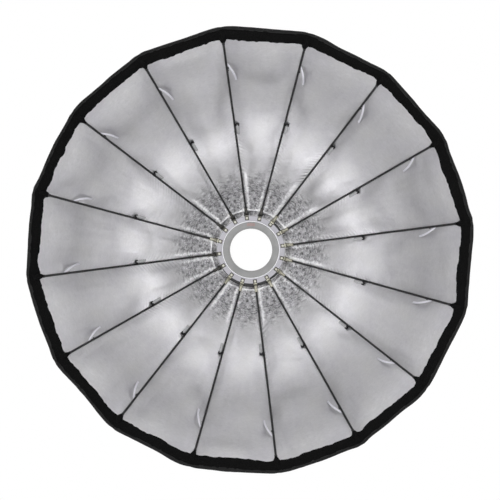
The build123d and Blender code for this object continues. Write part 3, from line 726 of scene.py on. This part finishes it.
# lining flaps: the silver lining is tucked in round the hub, one flap between each two levers, and hangs back where it was not pulled in
TUCK = [0.0793, 0.0838, 0.0793, 0.0793, 0.0793, 0.0793, 0.0793, 0.0793, 0.0793, 0.0806, 0.0862, 0.0866, 0.0862, 0.0836, 0.0793, 0.0793]
LINE_R = np.array([0.0790, 0.0822, 0.0856, 0.0884, 0.0908])
LINE_A = np.array([0.0186, 0.0168, 0.0157, 0.0143, 0.0130])
for k in range(N):
    fr = np.linspace(0, 1, 18)
    fv = np.linspace(0, 1, 33)
    FR, FV = np.meshgrid(fr, fv, indexing="ij")
    inner = TUCK[k] + 0.0010 * noise(fv * 3.0 + 5 * k, 0.4, 71) * (TUCK[k] > 0.08)
    R = inner[None] + (0.0908 - inner[None]) * FR
    edge = np.arcsin(0.0052 / R)
    AZ = rib_az(k) + edge + (STEP - 2 * edge) * FV
    pleat = 0.00045 * np.sin(FV * 2 * np.pi * 5.5 + 1.3 * k + 1.2 * noise(FV * 3, k * 1.7, 73)) * np.sin(np.pi * np.clip(FR * 0.9 + 0.1, 0, 1))
    roll = 0.0008 * np.exp(-((FR / 0.08) ** 2))
    A = np.interp(R, LINE_R, LINE_A) + 0.0008 + pleat + roll
    top_f = np.stack([R * np.cos(AZ), -A, R * np.sin(AZ)], -1)
    bot_f = np.stack([R * np.cos(AZ), -(A - 0.0005), R * np.sin(AZ)], -1)
    zero = np.zeros_like(R)
    uvf = np.stack([(FV - 0.5) * 0.026, R - 0.08], -1)
    # the flap's rolled inner edge gets painted highlight through the second extra UV layer, and the shade painted near
    # the hub through the first
    flap = shell(f"lining_flap_{k + 1:02d}", top_f, bot_f, [SILVER], uvf, uv2={"share": np.stack([0.5 + zero, zero + 0.01], -1), "painted_fold_highlight": np.stack([0.55 * np.exp(-((FR / 0.14) ** 2)), zero], -1)})
    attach(flap, "hub")

# cream pads on the heads of the catch springs
for k in range(N):
    pr, pa = 0.0743, 0.0244
    ang = np.linspace(0, 2 * math.pi, 32, endpoint=False)
    sq = lambda t, h: np.sign(t) * np.abs(t) ** 0.45 * h      # rounded square
    layers = [(0.0027, 0.0002 * -1), (0.0027, 0.0005), (0.0024, 0.0009), (0.0018, 0.00115)]
    verts, faces, uvs = [], [], []
    t = rib_az(k)
    for half_w, up in layers:
        for a in ang:
            dx, dy = float(sq(math.cos(a), half_w)), float(sq(math.sin(a), half_w * 0.92))
            r = pr + dx
            verts.append((r * math.cos(t) - dy * math.sin(t), -(pa + up), r * math.sin(t) + dy * math.cos(t)))
            uvs.append((dx, dy))
    m_ = len(ang)
    for i in range(len(layers) - 1):
        for j in range(m_):
            q = (j + 1) % m_
            faces.append((i * m_ + j, (i + 1) * m_ + j, (i + 1) * m_ + q, i * m_ + q))
    c_low, c_top = len(verts), len(verts) + 1
    verts += [(pr * math.cos(t), -(pa - 0.0002), pr * math.sin(t)), (pr * math.cos(t), -(pa + 0.0012), pr * math.sin(t))]
    uvs += [(0, 0), (0, 0)]
    for j in range(m_):
        q = (j + 1) % m_
        faces += [(c_low, j, q), (c_top, (len(layers) - 1) * m_ + q, (len(layers) - 1) * m_ + j)]
    pad = make(f"catch_pad_{k + 1:02d}", verts, faces, [CREAM], uvs)
    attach(pad, "hub")

# bevel round the inner edge of the face plate, much brighter than the plate: a painted highlight along the edge
na, ns_ = 192, 14
verts, uvs, faces = [], [], []
for i in range(na):
    t = 2 * math.pi * i / na
    for j in range(ns_):
        p_ = 2 * math.pi * j / ns_
        r, a = 0.0661 + 0.00085 * math.cos(p_), 0.0231 + 0.00075 * math.sin(p_)
        verts.append((r * math.cos(t), -a, r * math.sin(t)))
        uvs.append((t * 0.066, p_ * 0.0008))
for i in range(na):
    for j in range(ns_):
        q, w_ = (i + 1) % na, (j + 1) % ns_
        faces.append((i * ns_ + j, q * ns_ + j, q * ns_ + w_, i * ns_ + w_))
BEVEL_HIGHLIGHT = metal("bevel_painted_highlight", (0.78, 0.78, 0.80), (0.88, 0.88, 0.90), (0.30, 0.42), 0.5, bump=0.1, scale=200.0)
bevel = make("face_plate_bevel", verts, faces, [BEVEL_HIGHLIGHT], uvs)
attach(bevel, "hub")

# rear collar: gathered elastic cloth between the clamp ring and the cloth's inner edge
na, npf = 288, 15
ang = np.linspace(0, 2 * math.pi, na, endpoint=False)
line = np.array([(0.0853, 0.0042), (0.0866, 0.0044), (0.0895, 0.0062), (0.0925, 0.0086), (0.0950, 0.0108), (0.0972, 0.0130)])
tl = np.linspace(0, 1, npf)
lr = np.interp(tl, np.linspace(0, 1, 6), line[:, 0])
la = np.interp(tl, np.linspace(0, 1, 6), line[:, 1])
verts, uvs = [], []
for layer in (0, 1):
    for i in range(npf):
        pleat = 0.0007 * np.sin(ang * 72 + 0.6 * np.sin(ang * 5)) * math.sin(math.pi * min(1, tl[i] * 0.9 + 0.05))
        r = lr[i] + (0.0006 if layer else -0.0002) * 0.7 + pleat * 0.5
        a = la[i] - (0.0009 if layer else 0) - pleat * 0.7
        for j in range(na):
            verts.append((r[j] * math.cos(ang[j]), -a[j], r[j] * math.sin(ang[j])))
            uvs.append((ang[j] * 0.09, tl[i] * 0.017))
faces = []
o = npf * na
for i in range(npf - 1):
    for j in range(na):
        q = (j + 1) % na
        faces.append((i * na + j, i * na + q, (i + 1) * na + q, (i + 1) * na + j))
        faces.append((o + i * na + j, o + (i + 1) * na + j, o + (i + 1) * na + q, o + i * na + q))
for j in range(na):
    q = (j + 1) % na
    faces.append((j, o + j, o + q, q))
    e = (npf - 1) * na
    faces.append((e + j, e + q, o + e + q, o + e + j))
collar = make("rear_collar_cloth", verts, faces, [BLACK_EL], uvs)
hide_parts("rear_collar")
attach(collar, "hub")

# ---- room -----------------------------------------------------------------------------------------------------------------
def wall_material():
    m = Nodes("studio_floor_paint", Roughness=0.9)
    m.color(m.ramp(m.noise(m.coords(uv=False), 0.8, 2.0), [(0.3, (0.90, 0.90, 0.90)), (0.7, (0.93, 0.93, 0.93))]))
    return m.mat


FLOOR_Z = -1.30
verts = [(x, y, FLOOR_Z) for y in np.linspace(-6.5, 3.0, 12) for x in np.linspace(-5, 5, 9)]
faces = [(i * 9 + j, i * 9 + j + 1, (i + 1) * 9 + j + 1, (i + 1) * 9 + j) for i in range(11) for j in range(8)]
floor = make("studio_floor", verts, faces, [wall_material()])


def area(name, loc, target, size, power, size_y=None):
    d = bpy.data.lights.new(name, "AREA")
    d.shape = "RECTANGLE"
    d.size, d.size_y = size, size_y or size
    d.energy = power
    o = bpy.data.objects.new(name, d)
    o.location = loc
    o.rotation_euler = (Vector(target) - Vector(loc)).to_track_quat("-Z", "Y").to_euler()
    bpy.context.scene.collection.objects.link(o)
    return o


area("front", (-0.3, -5.0, 0.5), (0, -0.2, 0), 1.4, 76)
area("front_left", (-2.2, -3.8, 1.3), (0, -0.2, 0), 1.2, 16)
area("front_right", (2.2, -4.0, 0.7), (0, -0.2, 0), 1.4, 10)
area("back_left", (-2.4, 2.6, 1.6), (0, -0.1, 0), 1.6, 60)
area("back_right", (2.4, 2.6, 1.2), (0, -0.1, 0), 1.6, 45)
area("top", (0, -0.2, 2.6), (0, 0, 0), 2.4, 30)

world = bpy.data.worlds.new("studio")
bpy.context.scene.world = world
world.use_nodes = True
wt = world.node_tree
bg = wt.nodes["Background"]
bg.inputs[0].default_value = (0.94, 0.94, 0.95, 1)
bg.inputs[1].default_value = 0.50
seen = wt.nodes.new("ShaderNodeBackground")          # the white backdrop itself
seen.inputs[0].default_value = (1, 1, 1, 1)
seen.inputs[1].default_value = 1.0
mix = wt.nodes.new("ShaderNodeMixShader")
wt.links.new(wt.nodes.new("ShaderNodeLightPath").outputs["Is Camera Ray"], mix.inputs[0])
wt.links.new(bg.outputs[0], mix.inputs[1])
wt.links.new(seen.outputs[0], mix.inputs[2])
wt.links.new(mix.outputs[0], wt.nodes["World Output"].inputs[0])

# ---- camera ------------------------------------------------------------------------------------------------------------------
RIM_Y = float(cad_lo[1])
cam_d = bpy.data.cameras.new("camera")
cam = bpy.data.objects.new("camera", cam_d)
DIST = 2.645
cam.location = (0.021, RIM_Y - DIST, 0.003)
aim = Vector((0.0010, RIM_Y, 0.0))
cam.rotation_euler = (aim - cam.location).to_track_quat("-Z", "Y").to_euler()
cam_d.sensor_width = 36.0
cam_d.lens = 18.0 / (0.5 / DIST)
cam_d.clip_end = 50
bpy.context.scene.collection.objects.link(cam)
bpy.context.scene.camera = cam
bpy.context.scene.view_settings.view_transform = "Standard"
